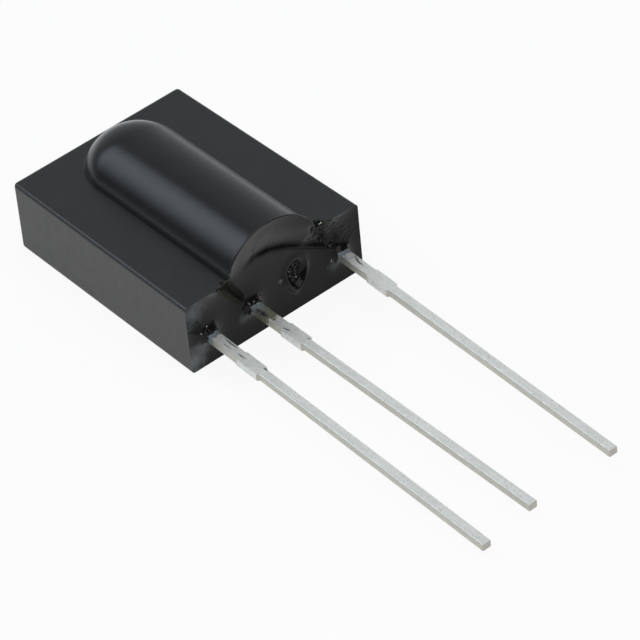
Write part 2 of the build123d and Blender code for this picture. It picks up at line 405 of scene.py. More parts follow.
@dataclass(frozen=True)
class TinFinish:
    """Matte tin plating on one stamped lead, with the marks that handling left.

    The dam bar was sheared off between torn_from and torn_to, and epoxy bled along
    the lead as far as film_end. Nearer the root, a light bluish tint over the film is a
    painted highlight of the cool key light. Places are in millimetres and cells are counted a metre.
    The spans of sides, steps and tops are those of the surface's normal.
    """

    name: str
    film_end: float
    film: Colour
    smears: tuple[Smear, ...]
    # Painted highlight: a light bluish tint at the root, over the bled epoxy film, standing in for the cool key
    # light's reflection.
    root_film_painted_highlight: Colour = (0.78, 0.88, 0.94)
    root_film_highlight_end: float = -6.62
    film_ragged: float = 0.22
    film_fade: Pair = (-0.06, 0.10)
    film_polish: float = 0.5
    film_cells: float = 4200.0
    torn_from: float = -8.36
    torn_to: float = -9.80
    torn_fade: float = 0.08
    torn_cells: float = 9500.0
    dull: Colour = (0.84, 0.83, 0.79)
    bright: Colour = (0.98, 0.97, 0.94)
    mottle_cells: float = 4200.0
    sheared: Colour = (0.61, 0.60, 0.55)
    side_span: Pair = (0.5, 0.95)
    torn: Colour = (0.82, 0.84, 0.83)
    pits: Colour = (0.30, 0.31, 0.31)
    pit_cells: float = 13000.0
    pit_span: Pair = (0.30, 0.05)
    pit_strength: float = 0.4
    torn_pit_span: Pair = (0.25, 0.05)
    torn_pit_strength: float = 0.8
    step: Colour = (0.52, 0.50, 0.45)
    step_span: Pair = (-0.35, -0.65)
    rubbed: Colour = (0.13, 0.15, 0.17)
    top_span: Pair = (0.3, 0.8)
    roughness: Pair = (0.44, 0.58)
    polish_cells: float = 3500.0
    metallic: float = 0.85
    grain_cells: float = 16000.0
    grain_height: float = 0.010

    def build(self, effects: Effects) -> bpy.types.Material:
        """Make the material.

        Args:
            effects: the shared effect groups.

        Returns:
            The finished material.
        """
        material, tree, shader = start_material(self.name, effects)
        along = tree.split(tree.on_object())["Y"]
        facing = tree.split(tree.add("NewGeometry").outputs["True Normal"])
        film = self.film_mask(tree, along, self.film_end)
        root_film_painted_highlight = self.film_mask(tree, along, self.root_film_highlight_end)
        colour = self.cut_faces(tree, self.plated(tree), along, facing)
        # The light bluish tint at the root is a painted highlight of the cool key light, laid over the bled
        # film.
        colour = tree.blend(tree.blend(colour, self.film, film), self.root_film_painted_highlight, root_film_painted_highlight)
        on_top = tree.span(facing["Z"], *self.top_span)
        for smear in self.smears:
            colour = tree.blend(colour, self.rubbed, tree.math("MULTIPLY", smear.mask(tree), on_top))
        rough = tree.drift(self.polish_cells, *self.roughness)
        polish = tree.math("SUBTRACT", 1.0, tree.math("MULTIPLY", film, self.film_polish))
        tree.feed(shader, {
            "Base Color": colour,
            "Roughness": tree.math("MULTIPLY", rough, polish),
            "Normal": tree.grained(self.grain_cells, self.grain_height),
            "Metallic": self.metallic,
        })
        return material

    def plated(self, tree: FinishTree) -> Socket:
        """Mottled, streaked and pitted plating.

        Args:
            tree: the material's tree.

        Returns:
            The colour's socket.
        """
        streaks = tree.group(tree.effects.streaks)
        shade = tree.math("MULTIPLY", tree.math("ADD", tree.drift(self.mottle_cells), streaks), 0.5)
        pits = tree.span(tree.drift(self.pit_cells), *self.pit_span, to_high=self.pit_strength)
        return tree.blend(tree.blend(self.dull, self.bright, shade), self.pits, pits)

    def cut_faces(self, tree: FinishTree, colour: Socket, along: Socket, facing: Sockets) -> Socket:
        """Darken the punched sides and steps, and whiten the torn dam-bar stubs.

        Args:
            tree: the material's tree.
            colour: the plating's colour.
            along: socket with the place along the lead, in metres.
            facing: sockets X, Y and Z of the surface's normal.

        Returns:
            The colour's socket.
        """
        side = tree.span(tree.math("ABSOLUTE", facing["X"]), *self.side_span)
        inner = tree.span(along, self.torn_from * MM, (self.torn_from - self.torn_fade) * MM)
        outer = tree.span(along, self.torn_to * MM, (self.torn_to + self.torn_fade) * MM)
        stub = tree.math("MULTIPLY", tree.math("MULTIPLY", inner, outer), side)
        pits = tree.span(tree.drift(self.torn_cells), *self.torn_pit_span, to_high=self.torn_pit_strength)
        colour = tree.blend(tree.blend(colour, self.sheared, side), self.torn, stub)
        colour = tree.blend(colour, self.pits, tree.math("MULTIPLY", pits, stub))
        return tree.blend(colour, self.step, tree.span(facing["Y"], *self.step_span))

    def film_mask(self, tree: FinishTree, along: Socket, end: float) -> Socket:
        """Where epoxy bled along the lead, with a ragged end.

        Args:
            tree: the material's tree.
            along: socket with the place along the lead, in metres.
            end: how far the film reaches, in millimetres.

        Returns:
            The mask's socket.
        """
        ragged = tree.drift(self.film_cells, -self.film_ragged * MM, self.film_ragged * MM)
        clear, full = self.film_fade
        return tree.span(tree.math("ADD", along, ragged), (end + clear) * MM, (end + full) * MM)


@dataclass(frozen=True)
class PlainFinish:
    """A finish for the sealed inner pieces and the flecks."""

    name: str
    dark: Colour
    light: Colour
    metallic: float
    roughness: Pair
    cells: float
    polish_ratio: float = 2.0
    grain_ratio: float = 6.0
    grain_height: float = 0.002
    grain_strength: float = 0.6

    def build(self, effects: Effects) -> bpy.types.Material:
        """Make the material.

        Args:
            effects: the shared effect groups.

        Returns:
            The finished material.
        """
        material, tree, shader = start_material(self.name, effects)
        tree.feed(shader, {
            "Base Color": tree.blend(self.dark, self.light, tree.drift(self.cells)),
            "Roughness": tree.drift(self.cells * self.polish_ratio, *self.roughness),
            "Normal": tree.grained(self.cells * self.grain_ratio, self.grain_height, self.grain_strength),
            "Metallic": self.metallic,
        })
        return material


MOULDED_EPOXY = EpoxyFinish(
    "satin_moulded_epoxy", dark=(0.007, 0.007, 0.008), light=(0.010, 0.010, 0.011), roughness=(0.30, 0.36),
    gloss=0.5, grain_cells=15000.0, grain_height=0.008)
LENS_EPOXY = EpoxyFinish(
    "polished_lens_epoxy", dark=(0.008, 0.008, 0.009), light=(0.010, 0.010, 0.011), roughness=(0.19, 0.23),
    gloss=0.36, grain_cells=15000.0, grain_height=0.002, dust=0.22)
CAST_EPOXY = EpoxyFinish(
    "free_surface_epoxy", dark=(0.003, 0.003, 0.003), light=(0.006, 0.006, 0.006), roughness=(0.10, 0.16),
    gloss=0.20, grain_cells=9000.0, grain_height=0.001,
    # Lighter cloudy patches of painted reflected brightness on the end face.
    painted_reflection_patches=(SpeckAndPaintedLightPatch(-4.80, 0.60, 0.95, 1.0), SpeckAndPaintedLightPatch(-4.20, 1.00, 0.45, 0.8), SpeckAndPaintedLightPatch(-1.80, 1.15, 0.36, 0.35),
           SpeckAndPaintedLightPatch(3.50, 1.05, 0.40, 0.4), SpeckAndPaintedLightPatch(-4.60, 3.20, 0.9, 0.6)),
    specks=(SpeckAndPaintedLightPatch(0.55, 1.76, 0.14, 1.0),))
OUTPUT_TIN = TinFinish(
    "output_lead_tin", film_end=-6.66, film=(0.60, 0.66, 0.70),
    smears=(Smear(-3.65, -7.46, 0.055, 0.46), Smear(-3.89, -7.55, 0.025, 0.36, -0.04),
            Smear(-3.85, -8.42, 0.035, 0.34, -0.07), Smear(-3.62, -9.80, 0.05, 0.22, -0.3)))
GROUND_TIN = TinFinish(
    "ground_lead_tin", film_end=-7.56, film=(0.74, 0.71, 0.54),
    smears=(Smear(-1.38, -8.52, 0.05, 0.24, -0.28), Smear(-1.10, -9.70, 0.04, 0.14, -0.3),
            Smear(-1.42, -6.92, 0.13, 0.48)))
SUPPLY_TIN = TinFinish(
    "supply_lead_tin", film_end=-6.66, film=(0.60, 0.66, 0.70),
    smears=(Smear(3.83, -7.38, 0.06, 0.46, 0.16), Smear(3.95, -7.10, 0.03, 0.24, 0.1)))
SILICON = PlainFinish("polished_silicon", (0.10, 0.11, 0.14), (0.16, 0.17, 0.20), 0.6, (0.18, 0.28), 3000.0)
DIE_ADHESIVE = PlainFinish(
    "silver_filled_adhesive", (0.42, 0.42, 0.40), (0.58, 0.58, 0.55), 0.3, (0.5, 0.7), 8000.0)
GOLD = PlainFinish("drawn_gold", (0.90, 0.66, 0.26), (0.98, 0.78, 0.38), 1.0, (0.2, 0.3), 12000.0)
FLECK = PlainFinish("torn_tin_flecks", (0.62, 0.58, 0.48), (0.95, 0.92, 0.84), 0.85, (0.25, 0.4), 9000.0)


# ---- End face ------------------------------------------------------------
def soft_step(value: np.ndarray, limit: float = 40.0) -> np.ndarray:
    """A smooth step from 0 to 1 round a value of 0, flat past a limit on either side."""
    return 1 / (1 + np.exp(-np.clip(value, -limit, limit)))


@dataclass(frozen=True)
class Course:
    """A bent line on the end face, through points in X and Z, in millimetres."""

    points: tuple[Pair, ...]

    def measure(self, x: np.ndarray, z: np.ndarray) -> tuple[np.ndarray, np.ndarray, np.ndarray, float]:
        """Measure places against the line.

        Args:
            x: grid of X places.
            z: grid of Z places.

        Returns:
            Each place's distance from the line, its side of it (1 or -1) and how far
            along it lies, and the line's length.
        """
        nearest = np.full_like(x, np.inf)
        side = np.zeros_like(x)
        place = np.zeros_like(x)
        passed = 0.0
        for (ax, az), (bx, bz) in zip(self.points, self.points[1:]):
            length = math.hypot(bx - ax, bz - az)
            ux, uz = (bx - ax) / length, (bz - az) / length
            along = (x - ax) * ux + (z - az) * uz
            inside = np.clip(along, 0, length)
            gap = np.hypot(x - ax - inside * ux, z - az - inside * uz)
            closer = gap < nearest
            nearest = np.where(closer, gap, nearest)
            side = np.where(closer, np.sign(ux * (z - az) - uz * (x - ax)), side)
            place = np.where(closer, passed + along, place)
            passed += length
        return nearest, side, place, passed


@dataclass(frozen=True)
class Fold(Course):
    """A flow line: the liquid stands lower on its left-hand side, by a height at each end."""

    heights: Pair
    width: float
    fade: float
    taper: float
    end_slope: float = 4.0

    def lower(self, x: np.ndarray, z: np.ndarray) -> np.ndarray:
        """How far the fold lowers the surface.

        Args:
            x: grid of X places.
            z: grid of Z places.

        Returns:
            The height to take away at each place.
        """
        nearest, side, place, length = self.measure(x, z)
        ends = soft_step((np.minimum(place, length - place) / self.taper - 0.5) * self.end_slope)
        step = soft_step(nearest * side / self.width)
        fading = np.exp(-(np.maximum(nearest * side, 0) / self.fade) ** 2)
        return np.interp(place, (0, length), self.heights) * step * fading * ends


@dataclass(frozen=True)
class Scar(Course):
    """A rough strip, with its share of crumbs and of lumps."""

    reach: float
    crumbs: float
    lumps: float

    def near(self, x: np.ndarray, z: np.ndarray) -> np.ndarray:
        """How close each place is to the strip, from 0 to 1."""
        return np.exp(-(self.measure(x, z)[0] / self.reach) ** 4)


@dataclass(frozen=True)
class Crater:
    """The egg-shaped pit round the trimmed lead, with a raised crest; sizes in millimetres.

    Its hollow, its broken bottom and their edge are shares of the way to the crest. Places
    are measured from the trimmed lead.
    """

    half_width: float = 0.57
    half_height: float = 0.76
    shift: float = 0.13
    lift: float = 0.14
    lean: float = 0.10
    egg: float = 0.5
    egg_limits: Pair = (0.2, 1.6)
    crest: float = 0.22
    crest_width: float = 0.27
    open_above: float = 0.75
    open_fade: float = 0.12
    sunk: float = 0.06
    hollow: float = 0.76
    bottom: float = 0.72
    edge: float = 0.06

    def radius(self, across: np.ndarray, up: np.ndarray) -> np.ndarray:
        """Distance from the crater's centre, where 1 is its crest.

        Args:
            across: grid of places across the end face.
            up: grid of places up it.

        Returns:
            The distance at each place.
        """
        share = (up - self.lift) / self.half_height
        swell = np.sqrt(np.clip(1 + self.egg * share, *self.egg_limits))
        return np.hypot((across - self.shift - self.lean * share) / (self.half_width * swell), share)

    def relief(self, across: np.ndarray, up: np.ndarray) -> np.ndarray:
        """Height of the crest, which is lower above the lead, and of the hollow.

        Args:
            across: grid of places across the end face.
            up: grid of places up it.

        Returns:
            The height at each place.
        """
        radius = self.radius(across, up)
        crest = np.exp(-((radius - 1.0) / self.crest_width) ** 2)
        above = soft_step((up - self.lift) / self.open_fade)
        hollow = soft_step((self.hollow - radius) / self.edge)
        return self.crest * (1 - self.open_above * above) * crest - self.sunk * hollow

    def broken(self, across: np.ndarray, up: np.ndarray) -> np.ndarray:
        """Where the bottom is broken up, from 0 to 1."""
        return soft_step((self.bottom - self.radius(across, up)) / self.edge)


@dataclass
class FreeSurface:
    """The end face: epoxy that climbed its mould walls and leads while liquid.

    The height above the undisturbed level follows the small-slope capillary law on a
    regular grid in X and Z. The liquid is pinned at the mould's rim, dips where the
    rim turns inward, and climbs each lead at a set slope. Sizes are in millimetres.
    """

    half_width: float
    depth: float
    lens_radius: float
    lens_height: float
    lead_height: float
    leads: tuple[float, ...]
    trimmed_lead: float
    drop: float = 0.46
    capillary: float = 1.1
    cell: float = 0.04
    margin: float = 0.62
    sweeps: int = 400
    settled: float = 1e-8
    dips: Pair = (0.32, 0.55)
    dip_radii: Pair = (0.20, 0.26)
    dip_shifts: Pair = (-0.14, 0.30)
    rim_calm: float = 0.22
    lead_blur: float = 0.04
    lead_half_width: float = 0.26
    lead_half_thickness: float = 0.19
    lead_slope: float = 0.5
    lead_share: float = 1e-3
    lead_broken: float = 0.20
    collar_height: float = 0.20
    collar_reach: float = 0.16
    lump_seed: int = 11
    lump_height: float = 0.016
    lump_size: float = 0.06
    crater: Crater = Crater()
    fold: Fold = Fold(
        ((-1.6, 3.65), (-0.75, 3.93), (0.1, 3.82), (1.1, 3.42), (2.15, 2.85), (3.1, 2.35), (3.7, 2.05)),
        heights=(0.12, 0.35), width=0.052, fade=0.9, taper=1.1)
    fold_calm: float = 0.9
    calm_blur: float = 0.2
    scars: tuple[Scar, ...] = (
        Scar(((2.92, 3.80), (2.90, 3.25), (3.10, 2.70), (3.45, 2.15)), reach=0.25, crumbs=0.16, lumps=1.9),
        Scar(((3.65, 3.30), (4.20, 2.90), (4.45, 2.30)), reach=0.46, crumbs=0.0, lumps=0.5),
    )

    def __post_init__(self) -> None:
        """Lay the grid over the whole end face and a margin round it."""
        crown = self.lens_height + self.lens_radius
        x = np.arange(-self.half_width - self.margin, self.half_width + self.margin + self.cell, self.cell)
        z = np.arange(-self.margin, crown + self.margin + self.cell, self.cell)
        self.x, self.z = np.meshgrid(x, z, indexing="ij")

    def wall_distance(self) -> np.ndarray:
        """Measure how far the mould wall is.

        Returns:
            The distance at each grid point, negative inside the casting.
        """
        block = np.maximum(np.abs(self.x) - self.half_width, np.maximum(-self.z, self.z - self.depth))
        lens = np.hypot(self.x, self.z - self.lens_height) - self.lens_radius
        return np.minimum(block, lens)

    def lead_distance(self) -> np.ndarray:
        """Measure how far the nearest long lead's surface is.

        Returns:
            The distance at each grid point, negative inside a lead.
        """
        nearest = np.full_like(self.x, self.half_width)
        for lead in self.leads:
            across = np.abs(self.x - lead) - self.lead_half_width
            along = np.abs(self.z - self.lead_height) - self.lead_half_thickness
            outside = np.hypot(np.maximum(across, 0), np.maximum(along, 0))
            nearest = np.minimum(nearest, outside + np.minimum(np.maximum(across, along), 0))
        return nearest

    def rim(self) -> np.ndarray:
        """Pin the liquid at the rim, lower where the rim turns inward.

        Returns:
            The height at each grid point.
        """
        notch = math.sqrt(self.lens_radius ** 2 - (self.depth - self.lens_height) ** 2)
        height = np.full_like(self.x, self.drop)
        for side, shift, dip, radius in zip((-notch, notch), self.dip_shifts, self.dips, self.dip_radii):
            away = (self.x - side - shift) ** 2 + (self.z - self.depth) ** 2
            height -= dip * np.exp(-away / radius ** 2)
        return height

    def broken(self) -> np.ndarray:
        """Find where the epoxy is broken up: by the leads and the scars and in the crater.

        Returns:
            How broken up it is at each grid point, from 0 to 1.
        """
        by_lead = np.exp(-(np.maximum(self.lead_distance(), 0) / self.lead_broken) ** 2)
        in_crater = self.crater.broken(self.x - self.trimmed_lead, self.z - self.lead_height)
        by_scar = [scar.crumbs * scar.near(self.x, self.z) for scar in self.scars]
        return np.maximum.reduce([by_lead, in_crater, *by_scar])

    def blur(self, field: np.ndarray, reach: float) -> np.ndarray:
        """Smooth a field.

        Args:
            field: values on the grid.
            reach: how far it is smoothed, in millimetres.

        Returns:
            The smoothed field.
        """
        cells = int(round(reach / self.cell))
        kernel = np.hanning(2 * cells + 3)[1:-1]
        kernel /= kernel.sum()
        for axis in (0, 1):
            field = np.apply_along_axis(np.convolve, axis, field, kernel, mode="same")
        return field

    def lumps(self) -> np.ndarray:
        """Make small lumps of cured epoxy where it is broken up.

        Returns:
            Their height at each grid point.
        """
        noise = self.blur(np.random.default_rng(self.lump_seed).standard_normal(self.x.shape), self.lump_size)
        noise /= noise.std()
        share = self.broken() + sum(scar.lumps * scar.near(self.x, self.z) for scar in self.scars)
        return self.lump_height * share * noise

    def settle(self, height: np.ndarray, lead: np.ndarray, liquid: np.ndarray) -> None:
        """Settle the liquid by conjugate gradients.

        Args:
            height: first guess of the height, which becomes the settled height.
            lead: distance to the nearest lead.
            liquid: 1 inside the casting and 0 outside.
        """
        share = np.maximum(soft_step(lead / self.lead_blur), self.lead_share)
        pull = self.lead_slope * np.hypot(*np.gradient(share, self.cell))
        across = (share[1:, :] + share[:-1, :]) / 2 / self.cell ** 2
        upward = (share[:, 1:] + share[:, :-1]) / 2 / self.cell ** 2

        def stiffness(field: np.ndarray) -> np.ndarray:
            """Weight and surface tension that a height field feels.

            Args:
                field: heights on the grid.

            Returns:
                The force at each place.
            """
            total = share / self.capillary ** 2 * field
            step = across * (field[1:, :] - field[:-1, :])
            total[1:, :] += step
            total[:-1, :] -= step
            step = upward * (field[:, 1:] - field[:, :-1])
            total[:, 1:] += step
            total[:, :-1] -= step
            return total * liquid

        residual = pull * liquid - stiffness(height)
        direction = residual.copy()
        size = (residual ** 2).sum()
        for _ in range(self.sweeps):
            reply = stiffness(direction)
            stride = size / (direction * reply).sum()
            height += stride * direction
            residual -= stride * reply
            fresh = (residual ** 2).sum()
            if fresh < self.settled:
                break
            direction = residual + fresh / size * direction
            size = fresh

    def solve(self) -> np.ndarray:
        """Shape the end face.

        Returns:
            The height above the undisturbed level at each grid point.
        """
        lead, wall = self.lead_distance(), self.wall_distance()
        liquid = (wall < 0).astype(float)
        height = self.rim()
        self.settle(height, lead, liquid)
        free = liquid * (1 - np.exp(-(wall / self.rim_calm) ** 2))
        collar = self.collar_height * np.exp(-np.maximum(lead, 0) / self.collar_reach)
        crater = self.crater.relief(self.x - self.trimmed_lead, self.z - self.lead_height)
        height += free * (collar + crater + self.lumps())
        calm = self.blur(liquid * (1 - np.exp(-(wall / self.fold_calm) ** 2)), self.calm_blur)
        height -= free * calm * self.fold.lower(self.x, self.z)
        return height


# ---- Casting -------------------------------------------------------------
class Operation(Enum):
    """How one solid acts on another."""

    JOIN = "UNION"
    CUT = "DIFFERENCE"


def mesh_object(name: str, vertices: list, faces: list, material: bpy.types.Material) -> bpy.types.Object:
    """Make a mesh object at the origin.

    Args:
        name: the object's name.
        vertices: points in metres.
        faces: vertex indices of each face.
        material: the material of all its faces.

    Returns:
        The new object, linked to the scene.
    """
    mesh = bpy.data.meshes.new(name)
    mesh.from_pydata(vertices, [], faces)
    mesh.materials.append(material)
    work = bmesh.new()
    work.from_mesh(mesh)
    bmesh.ops.recalc_face_normals(work, faces=work.faces)
    work.to_mesh(mesh)
    work.free()
    for polygon in mesh.polygons:
        polygon.use_smooth = True
    solid = bpy.data.objects.new(name, mesh)
    bpy.context.collection.objects.link(solid)
    return solid


def settle(piece: bpy.types.Object) -> None:
    """Turn a piece's modifiers into plain mesh.

    Args:
        piece: the object to settle.
    """
    graph = bpy.context.evaluated_depsgraph_get()
    mesh = bpy.data.meshes.new_from_object(piece.evaluated_get(graph))
    old = piece.data
    piece.modifiers.clear()
    piece.data = mesh
    if old.users == 0:
        bpy.data.meshes.remove(old)


def combine(base: bpy.types.Object, tool: bpy.types.Object, operation: Operation) -> None:
    """Join or cut one solid with another, and delete the tool.

    Args:
        base: the solid that stays.
        tool: the solid that acts on it.
        operation: what it does.
    """
    modifier = base.modifiers.new(operation.name.lower(), "BOOLEAN")
    modifier.operation = operation.value
    modifier.object = tool
    modifier.solver = "EXACT"
    modifier.material_mode = "TRANSFER"
    settle(base)
    bpy.data.objects.remove(tool)


def bridge_rings(rings: list[list[Vector]]) -> tuple[list[Vector], list[list[int]]]:
    """Skin a stack of rings of equal length, closed at both ends.

    Args:
        rings: the rings' points, from the first end to the last.

    Returns:
        Vertices and faces.
    """
    count = len(rings[0])
    vertices = [point for ring in rings for point in ring]
    last = len(vertices) - count
    faces = []
    for low in range(0, last, count):
        for index in range(count):
            after = (index + 1) % count
            faces.append([low + index, low + after, low + count + after, low + count + index])
    faces.append(list(range(count)))
    faces.append([last + index for index in reversed(range(count))])
    return vertices, faces


@dataclass
class Casting:
    """The epoxy casting: drafted block, domed lens and free end face.

    Sizes are in millimetres; the block's length and width come from the frame.
    """

    draft: float = 0.16
    edge_radius: float = 0.2
    edge_least: float = 0.004
    edge_steps: int = 6
    depth: float = 3.75
    lens_radius: float = 2.63
    lens_draft: float = 0.04
    lens_height: float = 2.93
    dome_gap: float = 0.44
    lip_flare: float = 0.1
    lip_length: float = 0.2
    lip_shape: tuple[Pair, ...] = (
        (0.0, 0.45), (0.12, 0.80), (0.25, 0.95), (0.38, 1.0), (0.50, 0.90), (0.64, 0.25), (0.80, 0.05),
        (1.0, 0.0))
    lens_sides: int = 256
    dome_steps: int = 48
    lead_height: float = 1.62
    pitch: float = 2.54
    overrun: float = 0.8
    cutter_depth: float = 1.5
    crease: float = 35.0
    patch_from: float = 0.08

    def __post_init__(self) -> None:
        """Read the casting's ends and half width from the frame, and shape its end face."""
        low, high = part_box("epoxy_body")
        self.open_end = low[1] / MM
        self.closed_end = high[1] / MM
        self.half_width = high[0] / MM
        output, ground, trimmed, supply = (self.pitch * place for place in (-1.5, -0.5, 0.5, 1.5))
        self.surface = FreeSurface(self.half_width, self.depth, self.lens_radius + self.lip_flare,
                                   self.lens_height, self.lead_height, (output, ground, supply), trimmed)
        self.end_face = self.open_end + self.surface.drop - self.surface.solve()

    def block(self, material: bpy.types.Material) -> bpy.types.Object:
        """The drafted block with rounded edges.

        Args:
            material: its finish.

        Returns:
            The solid, which overruns the end face.
        """
        length = self.closed_end - self.open_end
        stations = [(-self.overrun, 0.0)]
        for step in range(self.edge_steps + 1):
            angle = QUARTER_TURN * step / self.edge_steps
            back = self.edge_radius * (1 - math.sin(angle))
            stations.append((length - back, self.edge_radius * (1 - math.cos(angle))))
        rings = []
        for along, shrink in stations:
            half = self.half_width - self.draft * along / length - shrink
            rings.append(self.rounded_ring(half, self.open_end + along, shrink))
        return mesh_object("casting", *bridge_rings(rings), material)

    def rounded_ring(self, half: float, y: float, shrink: float) -> list[Vector]:
        """One cross-section of the block.

        Args:
            half: half its width.
            y: its place along the casting.
            shrink: how far it is drawn in at the closed end.

        Returns:
            The ring's points, in metres.
        """
        radius = max(self.edge_radius - shrink, self.edge_least)
        side, top, bottom = half - radius, self.depth - shrink - radius, shrink + radius
        centres = ((side, top), (-side, top), (-side, bottom), (side, bottom))
        ring = []
        for turn, (centre_x, centre_z) in enumerate(centres):
            for step in range(self.edge_steps + 1):
                angle = QUARTER_TURN * (turn + step / self.edge_steps)
                x = centre_x + radius * math.cos(angle)
                z = centre_z + radius * math.sin(angle)
                ring.append(Vector((x, y, z)) * MM)
        return ring

    def lens(self, material: bpy.types.Material) -> bpy.types.Object:
        """The lens as a turned solid, of which only the upper part stands proud.

        Args:
            material: its finish.

        Returns:
            The solid, which overruns the end face.
        """
        dome_radius = self.lens_radius - self.lens_draft
        dome_centre = self.closed_end - self.dome_gap - dome_radius
        profile = [(self.lens_radius + self.lip_flare * self.lip_shape[0][1], self.open_end - self.overrun)]
        for along, flare in self.lip_shape:
            profile.append((self.lens_radius + self.lip_flare * flare, self.open_end + self.lip_length * along))
        for step in range(self.dome_steps):
            angle = QUARTER_TURN * step / self.dome_steps
            profile.append((dome_radius * math.cos(angle), dome_centre + dome_radius * math.sin(angle)))
        turns = [math.tau * side / self.lens_sides for side in range(self.lens_sides)]
        rings = [[Vector((radius * math.cos(turn), y, self.lens_height + radius * math.sin(turn))) * MM
                  for turn in turns] for radius, y in profile]
        return mesh_object("lens", *bridge_rings(rings), material)

    def grid_points(self, y: np.ndarray) -> list[Vector]:
        """The end face's grid points, in metres, at given places along the casting."""
        return [Vector(point) * MM for point in zip(self.surface.x.ravel(), y.ravel(), self.surface.z.ravel())]

    def grid_faces(self) -> tuple[list[list[int]], list[list[int]]]:
        """The end face's grid as faces.

        Returns:
            Its cells, and the edges of its border.
        """
        columns, rows = self.end_face.shape
        number = np.arange(columns * rows).reshape(columns, rows).tolist()
        cells = [[number[i][j], number[i + 1][j], number[i + 1][j + 1], number[i][j + 1]]
                 for i in range(columns - 1) for j in range(rows - 1)]
        border = [[number[i][j], number[i + 1][j]] for i in range(columns - 1) for j in (0, rows - 1)]
        border += [[number[i][j], number[i][j + 1]] for j in range(rows - 1) for i in (0, columns - 1)]
        return cells, border

    def end_cutter(self, material: bpy.types.Material) -> bpy.types.Object:
        """The empty space beyond the free surface, as a solid to cut away.

        Args:
            material: the finish that it leaves.

        Returns:
            The solid.
        """
        outer = np.full_like(self.end_face, self.open_end - self.cutter_depth)
        layer = outer.size
        cells, border = self.grid_faces()
        faces = [[corner + back for corner in cell] for cell in cells for back in (0, layer)]
        faces += [[near, far, far + layer, near + layer] for near, far in border]
        points = self.grid_points(self.end_face) + self.grid_points(outer)
        return mesh_object("beyond_free_surface", points, faces, material)

    def broken_patch(self) -> bpy.types.Object:
        """The broken-up parts of the free surface, which know how broken they are.

        Returns:
            A bare sheet with the point attribute "broken", for crumbs to stand on.
        """
        share = np.where(self.surface.lead_distance() < 0, 0, self.surface.broken()).ravel()
        faces = [cell for cell in self.grid_faces()[0] if share[cell].min() > self.patch_from]
        mesh = bpy.data.meshes.new("broken_patch")
        mesh.from_pydata(self.grid_points(self.end_face), [], faces)
        mesh.attributes.new("broken", "FLOAT", "POINT").data.foreach_set("value", share)
        patch = bpy.data.objects.new("broken_patch", mesh)
        bpy.context.collection.objects.link(patch)
        return patch

    def build(self, moulded: bpy.types.Material, lens: bpy.types.Material,
              cast: bpy.types.Material) -> bpy.types.Object:
        """Pour the casting.

        Args:
            moulded: finish of the block.
            lens: finish of the lens.
            cast: finish of the free surface.

        Returns:
            The finished piece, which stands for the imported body.
        """
        casting = self.block(moulded)
        combine(casting, self.lens(lens), Operation.JOIN)
        combine(casting, self.end_cutter(cast), Operation.CUT)
        casting.data.set_sharp_from_angle(angle=math.radians(self.crease))
        casting.modifiers.new("even_normals", "WEIGHTED_NORMAL").keep_sharp = True
        settle(casting)
        casting.name = "epoxy_casting"
        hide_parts("epoxy_body")
        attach(casting, "root")
        return casting


# ---- Crumbs --------------------------------------------------------------
CRUMB_THINNEST = (0.45, 0.6, 1.0)
CRUMB_FULLEST = (0.8, 1.0, 1.0)
CRUMB_CELLS = 14000.0


